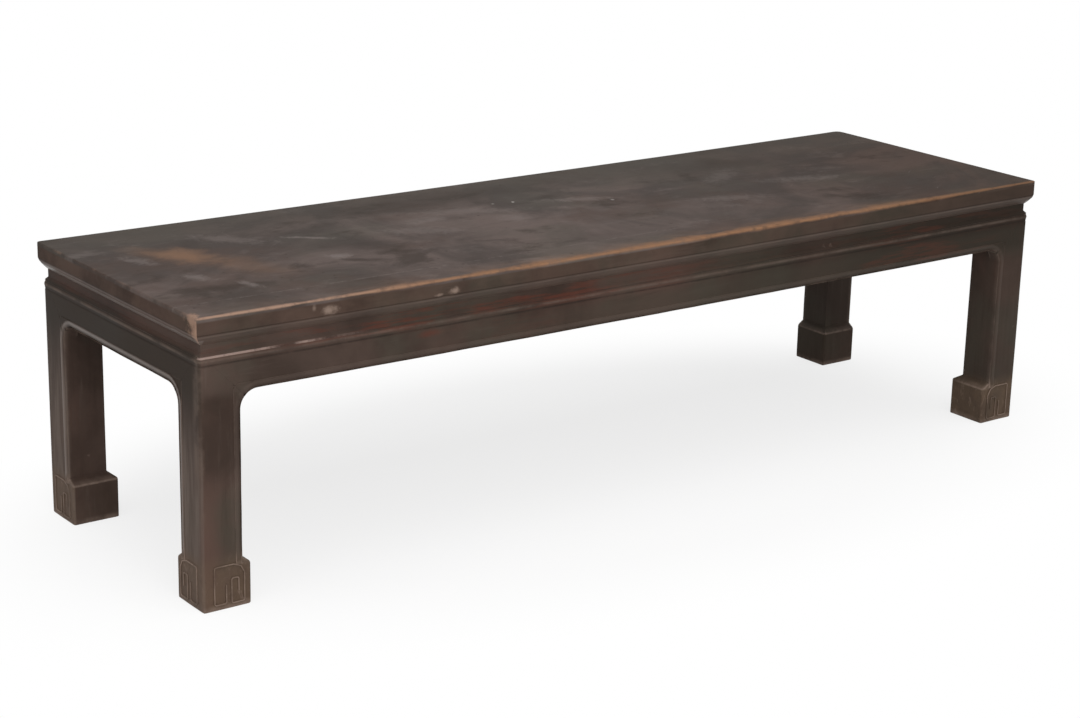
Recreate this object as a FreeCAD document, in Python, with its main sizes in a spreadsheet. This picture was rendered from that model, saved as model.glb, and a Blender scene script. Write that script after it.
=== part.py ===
import FreeCAD, Part
import math
import os

import Sketcher

# Low waisted table of lacquered wood, in millimetres: X along its length, Y across, Z up.
# The origin is on the floor, under the middle of the top.
SIZES = {
    # whole table
    "table_length": 1444,
    "table_width": 438,
    "table_height": 380,
    # frame of the top, with its moulded edge
    "frame_width": 58,
    "frame_thickness": 36,
    "edge_ease": 2,             # rounding of the upper edge
    "edge_band": 22,            # upright band of the edge
    "edge_undercut": 10,        # how far the moulding draws in below the band
    "edge_radius": 60,
    "corner_tenon_width": 26,
    "corner_tenon_thickness": 12,
    "corner_tenon_set": 16,     # from the outer edge to the tenon's side
    "corner_tenon_stop": 14,    # wood left over the tenon's end
    # boards that float in the frame
    "panel_thickness": 18,
    "panel_lip": 10,            # frame wood above the groove
    "groove_depth": 8,
    "panel_gap": 0.5,           # room for the boards to swell
    "board_tongue": 6,
    "board_tongue_thickness": 5,
    # battens across the underside
    "batten_width": 30,
    "batten_depth": 18,
    "dovetail_depth": 5,
    "dovetail_flare": 3,
    "batten_tenon_width": 20,
    "batten_tenon_thickness": 9,
    "batten_tenon_length": 15,
    # waist between the top and the aprons
    "waist_height": 11,
    "waist_setback": 5,
    "waist_tongue": 4,
    "waist_tongue_thickness": 6,
    # aprons
    "apron_height": 53,
    "apron_thickness": 20,
    "shoulder_rise": 5.5,       # slope from the apron's face up to the waist
    "opening_radius": 24,       # rounded corner between apron and leg
    "bead_width": 10,
    "bead_relief": 1.2,
    # legs with inward hoof feet
    "leg_inset": 5.5,           # from the top's edge to the face of leg and apron
    "leg_width": 55.5,
    "leg_round": 5,
    "hoof_step": 12,
    "hoof_height": 56,
    "hoof_slope": 8,
    "hoof_round": 4,
    "head_tenon": 12,
    "head_tenon_margin": 2,
    "key_width": 12,            # hanging dovetail that locks the apron to the leg
    "key_flare": 2,
    "key_depth": 5,
    "shoulder_tenon_set": 6,    # tenon behind the mitred shoulder
    "shoulder_tenon_thickness": 6,
    "shoulder_tenon_margin": 6,
    # fits
    "clearance": 0.15,
}
BATTENS = 4
SYMMETRIC = "Symmetric"


class Size:
    """A length written as a spreadsheet expression, so that sums of lengths stay bound to the sheet."""

    def __init__(self, text):
        self.text = text

    def join(self, sign, other, turned=False):
        first, second = str(self), str(other)
        if turned:
            first, second = second, first
        return Size(f"({first} {sign} {second})")

    def __str__(self):
        return self.text

    def __add__(self, other):
        return self.join("+", other)

    def __radd__(self, other):
        return self.join("+", other, turned=True)

    def __sub__(self, other):
        return self.join("-", other)

    def __rsub__(self, other):
        return self.join("-", other, turned=True)

    def __mul__(self, other):
        return self.join("*", other)

    def __rmul__(self, other):
        return self.join("*", other, turned=True)

    def __truediv__(self, other):
        return self.join("/", other)

    def __neg__(self):
        return Size(f"(0 - {self.text})")


doc = FreeCAD.newDocument("LowTable")
sheet = doc.addObject("Spreadsheet::Sheet", "Sizes")
for row, (name, number) in enumerate(SIZES.items(), start=1):
    sheet.set(f"A{row}", name)
    sheet.set(f"B{row}", str(number))
    sheet.setAlias(f"B{row}", name)
doc.recompute()


def size(name):
    return Size(f"Sizes.{name}")


def value(length):
    """The number that a length has now."""
    return float(sheet.evalExpression(str(length)))


length = size("table_length")
width = size("table_width")
top = size("table_height")
frame_width = size("frame_width")
clearance = size("clearance")
panel_gap = size("panel_gap")
leg_inset = size("leg_inset")
leg_width = size("leg_width")
apron_thickness = size("apron_thickness")
waist_setback = size("waist_setback")
waist_tongue = size("waist_tongue")
opening_radius = size("opening_radius")
bead_width = size("bead_width")

# heights, from the top down
edge_low = top - size("edge_band")
lip_bottom = top - size("panel_lip")
panel_bottom = top - size("panel_thickness")
frame_bottom = top - size("frame_thickness")
apron_top = frame_bottom - size("waist_height")
apron_bottom = apron_top - size("apron_height")
spring = apron_bottom - opening_radius      # where the rounded corner leaves the leg

# lengths shared by pieces that fit together
waist_thickness = apron_thickness - waist_setback
waist_tongue_in = (waist_thickness - size("waist_tongue_thickness")) / 2
waist_tongue_out = waist_tongue_in + size("waist_tongue_thickness")
hoof_width = leg_width + size("hoof_step")
mitre = leg_width + apron_bottom            # distance in from the leg plus height, along the mitre
corner_draw = opening_radius * (1 - math.sqrt(0.5))
arc_in = leg_width + corner_draw            # middle of the rounded corner
arc_height = apron_bottom - corner_draw
key_middle = (apron_thickness + leg_width) / 2
key_half = size("key_width") / 2
key_tip_half = key_half + size("key_flare")
key_tip = apron_thickness - size("key_depth")
shoulder_tenon_out = size("shoulder_tenon_set") + size("shoulder_tenon_thickness")
shoulder_tenon_end = leg_width - size("shoulder_tenon_margin")
head_tenon_low = apron_thickness + size("head_tenon_margin")
head_tenon_high = leg_width - size("head_tenon_margin")
corner_tenon_low = frame_bottom + size("head_tenon") + size("head_tenon_margin")
corner_tenon_side = size("corner_tenon_set") + size("corner_tenon_width")
half_opening = width / 2 - frame_width
batten_neck = size("batten_width") / 2 - size("dovetail_flare")
batten_tenon_half = size("batten_tenon_width") / 2
batten_tenon_low = panel_bottom - (size("batten_depth") + size("batten_tenon_thickness")) / 2
batten_places = [
    (length - 2 * frame_width) * ((n + 1) / (BATTENS + 1) - 0.5) for n in range(BATTENS)
]


def arc_between(start, end, radius, left):
    """The shorter arc from start to end that turns left or right."""
    chord = end - start
    middle = (start + end) * 0.5
    rise = math.sqrt(max(radius ** 2 - (chord.Length / 2) ** 2, 0))
    across = FreeCAD.Vector(-chord.y, chord.x, 0).normalize() * (rise if left else -rise)
    centre = middle + across
    first, last = (start, end) if left else (end, start)
    angles = [math.atan2(p.y - centre.y, p.x - centre.x) for p in (first, last)]
    circle = Part.Circle(centre, FreeCAD.Vector(0, 0, 1), radius)
    return Part.ArcOfCircle(circle, angles[0], angles[1])


def hold(sketch, kind, place, amount):
    """Adds one measured constraint and binds it to the sheet."""
    index = sketch.addConstraint(Sketcher.Constraint(kind, *place, value(amount)))
    sketch.setExpression(f"Constraints[{index}]", str(amount))


def draw_outline(sketch, outline):
    """Draws a closed outline. A corner is (u, v), or (u, v, radius, left) where an arc arrives at it."""
    points = [FreeCAD.Vector(value(corner[0]), value(corner[1]), 0) for corner in outline]
    sides = []
    for place, corner in enumerate(outline):
        start, end = points[place - 1], points[place]
        if len(corner) == 2:
            sides.append((sketch.addGeometry(Part.LineSegment(start, end)), 1, 2))
        else:
            radius, left = corner[2:]
            arc = sketch.addGeometry(arc_between(start, end, value(radius), left))
            sides.append((arc, 1, 2) if left else (arc, 2, 1))
            hold(sketch, "Radius", (arc,), radius)
    for place, corner in enumerate(outline):
        side, _, end = sides[place]
        after, start, _ = sides[(place + 1) % len(sides)]
        sketch.addConstraint(Sketcher.Constraint("Coincident", side, end, after, start))
        for kind, axis, amount in (("DistanceX", -2, corner[0]), ("DistanceY", -1, corner[1])):
            if isinstance(amount, Size):
                hold(sketch, kind, (-1, 1, side, end), amount)
            else:
                sketch.addConstraint(Sketcher.Constraint("PointOnObject", side, end, axis))


def draw(body, name, plane, outlines, offset=None):
    """A sketch on one of the body's own planes, moved along the plane's normal by offset."""
    sketch = body.newObject("Sketcher::SketchObject", name)
    support = next(part for part in body.Origin.OriginFeatures if part.Role == plane)
    sketch.AttachmentSupport = [(support, "")]
    sketch.MapMode = "FlatFace"
    if offset is not None:
        sketch.setExpression("AttachmentOffset.Base.z", str(offset))
    for outline in outlines:
        draw_outline(sketch, outline)
    return sketch


def pad(body, sketch, amount, side="One side", back=False):
    feature = body.newObject("PartDesign::Pad", f"{sketch.Name}Pad")
    feature.Profile = sketch
    feature.SideType = side
    feature.Reversed = back
    feature.setExpression("Length", str(amount))


def pocket(body, sketch, amount=None, back=False):
    """A pocket of one depth, or right through both ways when no depth is given."""
    feature = body.newObject("PartDesign::Pocket", f"{sketch.Name}Pocket")
    feature.Profile = sketch
    feature.Reversed = back
    if amount is None:
        feature.SideType = SYMMETRIC
        feature.Type = "ThroughAll"
    else:
        feature.setExpression("Length", str(amount))


def rectangle(u_low, u_high, v_low, v_high):
    return [(u_low, v_low), (u_high, v_low), (u_high, v_high), (u_low, v_high)]


def both_ends(outline):
    """An outline beside +X and its mirror image beside -X."""
    return [outline, [(-u, v) for u, v in reversed(outline)]]


def mitre_waste(half, depth):
    """Plan of the wood beyond a 45 degree mitre whose tip is at half, on a piece of some depth."""
    far = depth * 2
    return both_ends([(half + far, -far), (half + far, far), (half - far, far)])


def place(body, away, turn):
    """Sets a piece built at the front, facing -Y, against one of the four sides."""
    body.Placement = FreeCAD.Placement(
        FreeCAD.Vector(), FreeCAD.Rotation(FreeCAD.Vector(0, 0, 1), turn * 90)
    )
    axis, sign = (("y", -1), ("x", 1), ("y", 1), ("x", -1))[turn]
    body.setExpression(f"Placement.Base.{axis}", str(sign * away))


def new_body(label):
    body = doc.addObject("PartDesign::Body", label)
    body.Label = label
    return body


def frame_member(label, span, is_long):
    """A side of the top's frame: moulded outside, grooved for the boards, mitred at both ends."""
    body = new_body(label)
    tongue_near = leg_inset + waist_setback + waist_tongue_in - clearance
    tongue_far = leg_inset + waist_setback + waist_tongue_out + clearance
    tongue_top = frame_bottom + waist_tongue + clearance
    groove = frame_width - size("groove_depth")
    ease = size("edge_ease")
    section = draw(body, "Section", "YZ_Plane", [[
        (0, top - ease, ease, True),
        (0, edge_low),
        (size("edge_undercut"), frame_bottom, size("edge_radius"), True),
        (tongue_near, frame_bottom),
        (tongue_near, tongue_top),
        (tongue_far, tongue_top),
        (tongue_far, frame_bottom),
        (frame_width, frame_bottom),
        (frame_width, panel_bottom),
        (groove, panel_bottom),
        (groove, lip_bottom),
        (frame_width, lip_bottom),
        (frame_width, top),
        (ease, top),
    ]])
    pad(body, section, span, SYMMETRIC)
    pocket(body, draw(body, "Mitres", "XY_Plane", mitre_waste(span / 2, frame_width)))
    leg_corner = span / 2 - leg_inset
    head_mortise = rectangle(
        leg_corner - head_tenon_high - clearance,
        leg_corner - key_middle,
        leg_inset + head_tenon_low - clearance,
        leg_inset + key_middle,
    )
    heads = draw(body, "HeadMortises", "XY_Plane", both_ends(head_mortise), frame_bottom)
    pocket(body, heads, size("head_tenon") + clearance, back=True)
    if is_long:
        tenon = rectangle(
            span / 2 - corner_tenon_side * 2,
            span / 2 - size("corner_tenon_stop"),
            size("corner_tenon_set"),
            corner_tenon_side,
        )
        tenons = draw(body, "CornerTenons", "XY_Plane", both_ends(tenon), corner_tenon_low)
        pad(body, tenons, size("corner_tenon_thickness"))
        mortises = [
            rectangle(
                middle - batten_tenon_half - clearance,
                middle + batten_tenon_half + clearance,
                frame_width - size("batten_tenon_length") - clearance,
                frame_width * 2,
            )
            for middle in batten_places
        ]
        sockets = draw(body, "BattenMortises", "XY_Plane", mortises, batten_tenon_low - clearance)
        pocket(body, sockets, size("batten_tenon_thickness") + clearance * 2, back=True)
    else:
        mortise = rectangle(
            span / 2 - corner_tenon_side - clearance,
            span / 2 - size("corner_tenon_set") + clearance,
            size("corner_tenon_stop") - clearance,
            frame_width,
        )
        slots = draw(
            body, "CornerMortises", "XY_Plane", both_ends(mortise), corner_tenon_low - clearance
        )
        pocket(body, slots, size("corner_tenon_thickness") + clearance * 2, back=True)
    return body


def board(label, side):
    """One of the two boards of the top, rebated to enter the frame's groove, dovetailed for battens."""
    body = new_body(label)
    edge = half_opening - panel_gap
    reach = half_opening + size("groove_depth") - panel_gap
    tongue_top = lip_bottom - clearance
    fit = clearance if side > 0 else 0 * clearance
    joint_low = (panel_bottom + top - size("board_tongue_thickness")) / 2 - fit
    joint_high = (panel_bottom + top + size("board_tongue_thickness")) / 2 + fit
    joint_end = size("board_tongue") + fit
    section = draw(body, "Section", "YZ_Plane", [[
        (side * reach, panel_bottom),
        (0, panel_bottom),
        (0, joint_low),
        (joint_end, joint_low),
        (joint_end, joint_high),
        (0, joint_high),
        (0, top),
        (side * edge, top),
        (side * edge, tongue_top),
        (side * reach, tongue_top),
    ]])
    lengthwise = length / 2 - width / 2
    pad(body, section, (lengthwise + reach) * 2, SYMMETRIC)
    rebate = rectangle(lengthwise + edge, lengthwise + reach * 2, tongue_top, top * 2)
    pocket(body, draw(body, "EndRebates", "XZ_Plane", both_ends(rebate)))
    dovetail_top = panel_bottom + size("dovetail_depth") + clearance
    wide = size("batten_width") / 2 + clearance
    narrow = batten_neck + clearance
    grooves = [
        [
            (middle - narrow, panel_bottom),
            (middle + narrow, panel_bottom),
            (middle + wide, dovetail_top),
            (middle - wide, dovetail_top),
        ]
        for middle in batten_places
    ]
    pocket(body, draw(body, "DovetailGrooves", "XZ_Plane", grooves))
    return body


def batten(label, middle):
    """A batten that slides into the boards' dovetail grooves and is tenoned into the long frame sides."""
    body = new_body(label)
    half = size("batten_width") / 2
    low = panel_bottom - size("batten_depth")
    high = panel_bottom + size("dovetail_depth")
    section = draw(body, "Section", "XZ_Plane", [[
        (-half, low),
        (half, low),
        (half, panel_bottom),
        (batten_neck, panel_bottom),
        (half, high),
        (-half, high),
        (-batten_neck, panel_bottom),
        (-half, panel_bottom),
    ]])
    pad(body, section, (half_opening - clearance) * 2, SYMMETRIC)
    tenon = rectangle(
        -batten_tenon_half,
        batten_tenon_half,
        batten_tenon_low,
        batten_tenon_low + size("batten_tenon_thickness"),
    )
    reach = half_opening + size("batten_tenon_length")
    pad(body, draw(body, "Tenons", "XZ_Plane", [tenon]), reach * 2, SYMMETRIC)
    body.setExpression("Placement.Base.x", str(middle))
    return body


def waist(label, span):
    """A strip of the waist, tongued into the frame above and the apron below, mitred at both ends."""
    body = new_body(label)
    section = draw(body, "Section", "YZ_Plane", [[
        (0, apron_top),
        (waist_tongue_in, apron_top),
        (waist_tongue_in, apron_top - waist_tongue),
        (waist_tongue_out, apron_top - waist_tongue),
        (waist_tongue_out, apron_top),
        (waist_thickness, apron_top),
        (waist_thickness, frame_bottom),
        (waist_tongue_out, frame_bottom),
        (waist_tongue_out, frame_bottom + waist_tongue),
        (waist_tongue_in, frame_bottom + waist_tongue),
        (waist_tongue_in, frame_bottom),
        (0, frame_bottom),
    ]])
    half = span / 2 - leg_inset - waist_setback
    pad(body, section, half * 2, SYMMETRIC)
    pocket(body, draw(body, "Mitres", "XY_Plane", mitre_waste(half, waist_thickness)))
    return body


def key_plan(spare):
    """Plan of the hanging dovetail on a leg's front, with some room around it."""
    return [
        (key_middle - key_half - spare, apron_thickness),
        (key_middle - key_tip_half - spare, key_tip - spare),
        (key_middle + key_tip_half + spare, key_tip - spare),
        (key_middle + key_half + spare, apron_thickness),
    ]


def apron(label, span):
    """A beaded apron with rounded corners, mitred to the legs and locked by their hanging dovetails."""
    body = new_body(label)
    half = span / 2 - leg_inset
    straight = half - leg_width - opening_radius
    top_half = half - (mitre - apron_top)
    lower_edge = [
        (-(half - arc_in), arc_height),
        (-straight, apron_bottom, opening_radius, False),
        (straight, apron_bottom),
        (half - arc_in, arc_height, opening_radius, False),
    ]
    face = draw(body, "Face", "XZ_Plane", [lower_edge + [(top_half, apron_top), (-top_half, apron_top)]])
    pad(body, face, apron_thickness, back=True)
    bead_half = half - leg_width + bead_width
    bead_top = apron_bottom + bead_width
    bead = draw(body, "Bead", "XZ_Plane", [lower_edge + [(bead_half, bead_top), (-bead_half, bead_top)]])
    pad(body, bead, size("bead_relief"))
    tenon = rectangle(
        half - shoulder_tenon_end,
        half - apron_thickness,
        mitre - shoulder_tenon_end,
        mitre - apron_thickness,
    )
    tenons = draw(
        body, "ShoulderTenons", "XZ_Plane", both_ends(tenon), -size("shoulder_tenon_set")
    )
    pad(body, tenons, size("shoulder_tenon_thickness"), back=True)
    pocket(body, draw(body, "Mitres", "XY_Plane", mitre_waste(half, apron_thickness)))
    slot = [(half - u, v) for u, v in key_plan(clearance)]
    pocket(body, draw(body, "KeySlots", "XY_Plane", both_ends(slot)))
    slope = [(0, apron_top - size("shoulder_rise")), (waist_setback, apron_top), (0, apron_top)]
    groove = rectangle(
        waist_setback + waist_tongue_in - clearance,
        waist_setback + waist_tongue_out + clearance,
        apron_top - waist_tongue - clearance,
        frame_bottom,
    )
    pocket(body, draw(body, "UpperEdge", "YZ_Plane", [slope, groove]))
    return body


def leg(label):
    """A leg with its hoof foot, mitred shoulders, hanging dovetails and head tenons.

    Its outer corner is at the origin, and both faces that meet the table's inside look along +X and +Y.
    """
    body = new_body(label)
    corner, hoof_corner = size("leg_round"), size("hoof_round")
    rest = hoof_width - hoof_corner
    blank = draw(body, "Blank", "XY_Plane", [[
        (corner, 0, corner, True),
        (rest, 0),
        (hoof_width, hoof_corner, hoof_corner, True),
        (hoof_width, rest),
        (rest, hoof_width, hoof_corner, True),
        (hoof_corner, hoof_width),
        (0, rest, hoof_corner, True),
        (0, corner),
    ]])
    pad(body, blank, frame_bottom)
    far = hoof_width * 2
    hoof_height = size("hoof_height")
    inside = [
        (leg_width, hoof_height + size("hoof_slope")),
        (hoof_width, hoof_height),
        (far, hoof_height),
        (far, spring),
        (leg_width, spring),
    ]
    head = draw(body, "Head", "XY_Plane", [[
        (leg_width, apron_thickness),
        (far, apron_thickness),
        (far, far),
        (apron_thickness, far),
        (apron_thickness, leg_width),
        (leg_width, leg_width),
    ]], spring)
    pocket(body, head, frame_bottom, back=True)
    shoulder = [
        (leg_width, spring),
        (arc_in, arc_height, opening_radius, False),
        (mitre - apron_top, apron_top),
        (-far, apron_top),
        (-far, top),
        (far, top),
        (far, spring),
    ]
    slope = [(0, apron_top - size("shoulder_rise")), (waist_setback, apron_top), (0, apron_top)]
    mortise = rectangle(
        apron_thickness - clearance,
        shoulder_tenon_end + clearance,
        mitre - shoulder_tenon_end - clearance,
        mitre - apron_thickness,
    )
    bead = [
        (leg_width - bead_width, hoof_height),
        (leg_width, hoof_height),
        (leg_width, spring),
        (arc_in, arc_height, opening_radius, False),
        (leg_width - bead_width, apron_bottom + bead_width),
    ]
    mortise_near = size("shoulder_tenon_set") - clearance
    mortise_depth = size("shoulder_tenon_thickness") + clearance * 2
    for name, plane, inward in (("Front", "XZ_Plane", -1), ("Side", "YZ_Plane", 1)):
        facing_in = inward > 0
        pocket(body, draw(body, f"{name}Inside", plane, [inside]))
        pocket(body, draw(body, f"{name}Shoulder", plane, [shoulder]), apron_thickness, back=facing_in)
        pocket(body, draw(body, f"{name}Slope", plane, [slope]))
        mortises = draw(body, f"{name}Mortise", plane, [mortise], inward * mortise_near)
        pocket(body, mortises, mortise_depth, back=facing_in)
        pad(body, draw(body, f"{name}Bead", plane, [bead]), size("bead_relief"), back=facing_in)
    key_low = mitre - key_middle - key_tip_half
    key = key_plan(0 * clearance)
    for name, outline in (("FrontKey", key), ("SideKey", [(v, u) for u, v in key])):
        pad(body, draw(body, name, "XY_Plane", [outline], key_low), apron_top - key_low)
    tenon = rectangle(key_middle + clearance, head_tenon_high, head_tenon_low, key_middle - clearance)
    other = [(v, u) for u, v in tenon]
    tenons = draw(body, "HeadTenons", "XY_Plane", [tenon, other], frame_bottom)
    pad(body, tenons, size("head_tenon"))
    return body


pieces = []
SIDES = (("front", length, width), ("right", width, length), ("back", length, width), ("left", width, length))
for turn, (side, span, across) in enumerate(SIDES):
    member = frame_member(f"top_frame_{side}", span, is_long=side in ("front", "back"))
    strip = waist(f"waist_{side}", span)
    skirt = apron(f"apron_{side}", span)
    place(member, across / 2, turn)
    place(strip, across / 2 - leg_inset - waist_setback, turn)
    place(skirt, across / 2 - leg_inset, turn)
    pieces += [member, strip, skirt]

for label, side in (("top_board_front", -1), ("top_board_back", 1)):
    pieces.append(board(label, side))

for number, middle in enumerate(batten_places, start=1):
    pieces.append(batten(f"batten_{number}", middle))

CORNERS = (("front_left", -1, -1), ("front_right", 1, -1), ("back_right", 1, 1), ("back_left", -1, 1))
for turn, (corner, x_side, y_side) in enumerate(CORNERS):
    post = leg(f"leg_{corner}")
    post.Placement = FreeCAD.Placement(
        FreeCAD.Vector(), FreeCAD.Rotation(FreeCAD.Vector(0, 0, 1), turn * 90)
    )
    post.setExpression("Placement.Base.x", str(x_side * (length / 2 - leg_inset)))
    post.setExpression("Placement.Base.y", str(y_side * (width / 2 - leg_inset)))
    pieces.append(post)

doc.recompute()
for item in doc.Objects:
    if {"Invalid", "Error"} & set(item.State):
        raise RuntimeError(f"{item.Name} did not build: {item.State}")
for piece in pieces:
    if piece.Shape.isNull() or not piece.Shape.isValid() or len(piece.Shape.Solids) != 1:
        raise RuntimeError(f"{piece.Label} is not one sound solid")

os.makedirs("parts", exist_ok=True)
for piece in pieces:
    piece.Shape.exportStep(f"parts/{piece.Label}.step")
print(f"{len(pieces)} pieces written")
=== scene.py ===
import math
from types import SimpleNamespace

import bmesh
import bpy
from mathutils import Matrix, Vector, noise


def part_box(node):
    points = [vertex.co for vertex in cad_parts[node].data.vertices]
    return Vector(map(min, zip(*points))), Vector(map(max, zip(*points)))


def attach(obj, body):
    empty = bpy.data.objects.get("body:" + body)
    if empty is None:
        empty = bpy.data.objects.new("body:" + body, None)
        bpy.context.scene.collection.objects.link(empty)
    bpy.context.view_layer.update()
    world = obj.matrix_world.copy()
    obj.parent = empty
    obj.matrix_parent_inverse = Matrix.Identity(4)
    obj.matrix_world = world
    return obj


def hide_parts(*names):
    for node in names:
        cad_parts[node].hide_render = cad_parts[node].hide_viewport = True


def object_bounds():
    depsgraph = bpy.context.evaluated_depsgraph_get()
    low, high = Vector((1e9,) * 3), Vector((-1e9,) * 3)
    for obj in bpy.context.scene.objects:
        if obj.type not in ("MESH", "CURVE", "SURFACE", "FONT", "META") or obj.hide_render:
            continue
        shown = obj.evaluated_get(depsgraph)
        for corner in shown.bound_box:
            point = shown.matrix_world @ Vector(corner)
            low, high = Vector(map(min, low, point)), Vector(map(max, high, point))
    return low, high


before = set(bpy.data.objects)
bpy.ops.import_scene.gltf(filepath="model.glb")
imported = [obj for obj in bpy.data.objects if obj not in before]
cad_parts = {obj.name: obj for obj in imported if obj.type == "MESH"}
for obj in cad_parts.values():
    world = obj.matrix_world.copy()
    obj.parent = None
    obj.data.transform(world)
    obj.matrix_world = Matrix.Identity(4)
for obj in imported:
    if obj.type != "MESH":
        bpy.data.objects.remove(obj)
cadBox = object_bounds()
mm = 0.001
sag = 2.0 * mm  # how far the long top hangs at its middle
frameWidth = 58 * mm  # sides of the top's frame
faceInset = 5.5 * mm  # aprons and legs lie this far inside the edge of the top
noise.seed_set(11)
halfLength, halfWidth, tableHeight = cadBox[1]
print("frame loaded:", len(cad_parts), "pieces")


# camera at the photograph's place
cameraView = {
    "pictureWidth": 1080,  # pixels
    "focalLength": 2369.7,  # pixels
    "place": (-2.0012, -2.6104, 1.1618),
    "yaw": 36.763,  # degrees to the right of +Y
    "pitch": 17.016,  # degrees down
    "roll": 1.358,
    "sensor": 36.0,  # mm
    "clipEnd": 100,
}


def makeCamera(view):
    yaw, pitch, roll = (math.radians(view[key]) for key in ("yaw", "pitch", "roll"))
    ahead = Vector((math.sin(yaw) * math.cos(pitch), math.cos(yaw) * math.cos(pitch), -math.sin(pitch)))
    level = Vector((math.cos(yaw), -math.sin(yaw), 0))
    upright = level.cross(ahead)
    right = math.cos(roll) * level + math.sin(roll) * upright
    up = math.cos(roll) * upright - math.sin(roll) * level
    camera = bpy.data.objects.new("camera", bpy.data.cameras.new("camera"))
    camera.data.sensor_width = view["sensor"]
    camera.data.lens = view["focalLength"] / view["pictureWidth"] * view["sensor"]
    camera.data.clip_end = view["clipEnd"]
    turned = Matrix((right, up, -ahead)).transposed().to_4x4()
    camera.matrix_world = Matrix.Translation(view["place"]) @ turned
    bpy.context.scene.collection.objects.link(camera)
    bpy.context.scene.camera = camera


makeCamera(cameraView)
print("camera placed")


# shader maths on sockets
class Value:
    def __init__(self, paint, socket):
        self.paint = paint
        self.socket = socket

    def join(self, operation, first, second):
        return self.paint.node("ShaderNodeMath", {"operation": operation}, {0: first, 1: second})

    def __add__(self, other):
        return self.join("ADD", self, other)

    def __radd__(self, other):
        return self.join("ADD", other, self)

    def __sub__(self, other):
        return self.join("SUBTRACT", self, other)

    def __rsub__(self, other):
        return self.join("SUBTRACT", other, self)

    def __mul__(self, other):
        return self.join("MULTIPLY", self, other)

    def __rmul__(self, other):
        return self.join("MULTIPLY", other, self)

    def most(self, other):
        return self.join("MAXIMUM", self, other)

    def least(self, other):
        return self.join("MINIMUM", self, other)

    def size(self):
        return self.paint.node("ShaderNodeMath", {"operation": "ABSOLUTE"}, {0: self})

    def ramp(self, low, high, start=0.0, end=1.0):
        inputs = {"Value": self, "From Min": low, "From Max": high, "To Min": start, "To Max": end}
        return self.paint.node("ShaderNodeMapRange", {"interpolation_type": "SMOOTHSTEP"}, inputs)

    def between(self, zone):
        start, full, fading, gone = zone
        return self.ramp(start, full) * self.ramp(gone, fading)


class Paint:
    def __init__(self, tree):
        self.tree = tree
        self.tree.nodes.clear()
        self.colour = None

    def node(self, kind, settings=None, inputs=None, out=0):
        made = self.tree.nodes.new(kind)
        for key, setting in (settings or {}).items():
            setattr(made, key, setting)
        for key, given in (inputs or {}).items():
            socket = made.inputs[key] if isinstance(key, int) else self.pick(made.inputs, key)
            if isinstance(given, Value):
                self.tree.links.new(given.socket, socket)
            elif socket.type == "RGBA":
                socket.default_value = (*given, 1.0)
            else:
                socket.default_value = given
        ends = [socket for socket in made.outputs if socket.enabled]
        if not ends:
            return None
        return Value(self, ends[out] if isinstance(out, int) else self.pick(made.outputs, out))

    def pick(self, sockets, name):
        return next(socket for socket in sockets if socket.enabled and socket.name == name)

    def place(self):
        return self.node("ShaderNodeTexCoord", out="Object")

    def attribute(self, name):
        return self.node("ShaderNodeAttribute", {"attribute_name": name}, out="Fac")

    def split(self, vector):
        node = self.node("ShaderNodeSeparateXYZ", inputs={0: vector}).socket.node
        return [Value(self, socket) for socket in node.outputs]

    def length(self, vector):
        return self.node("ShaderNodeVectorMath", {"operation": "LENGTH"}, {0: vector}, out="Value")

    def stretch(self, vector, scale, move=(0, 0, 0), turn=(0, 0, 0)):
        inputs = {"Vector": vector, "Location": move, "Rotation": turn, "Scale": scale}
        return self.node("ShaderNodeMapping", {"vector_type": "TEXTURE"}, inputs)

    def moved(self, vector, move):
        return self.stretch(vector, (1, 1, 1), move)

    def cloud(self, vector, scale, detail=4.0, rough=0.55, bend=0.0):
        inputs = {
            "Vector": vector, "Scale": scale, "Detail": detail, "Roughness": rough, "Distortion": bend,
        }
        return self.node("ShaderNodeTexNoise", inputs=inputs)

    def blend(self, amount, first, second, kind="MIX"):
        settings = {"data_type": "RGBA", "blend_type": kind, "clamp_factor": True}
        return self.node("ShaderNodeMix", settings, {"Factor": amount, "A": first, "B": second})

    def lay(self, amount, tone, kind="MIX"):
        self.colour = self.blend(amount, self.colour, tone, kind)

    def spot(self, place, middle, reach, frayed, turn=0.0):
        near = self.stretch(place, reach, middle, (0, 0, math.radians(turn)))
        return (self.length(near) + frayed).ramp(1.25, 0.10)


coatGloss = {"roughness": 0.32, "ior": 1.5}


def newMaterial(name):
    material = bpy.data.materials.new(name)
    material.use_nodes = True
    return material, Paint(material.node_tree)


def finishMaterial(paint, roughness, height, coat, fixed):
    inputs = {"Strength": 1.0, "Distance": fixed["relief"], "Height": height}
    bump = paint.node("ShaderNodeBump", inputs=inputs)
    inputs = {
        "Base Color": paint.colour, "Roughness": roughness, "Normal": bump,
        "Specular IOR Level": fixed["specular"], "Coat Weight": coat,
        "Coat Roughness": coatGloss["roughness"], "Coat IOR": coatGloss["ior"],
    }
    surface = paint.node("ShaderNodeBsdfPrincipled", inputs=inputs)
    paint.node("ShaderNodeOutputMaterial", inputs={"Surface": surface})


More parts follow.
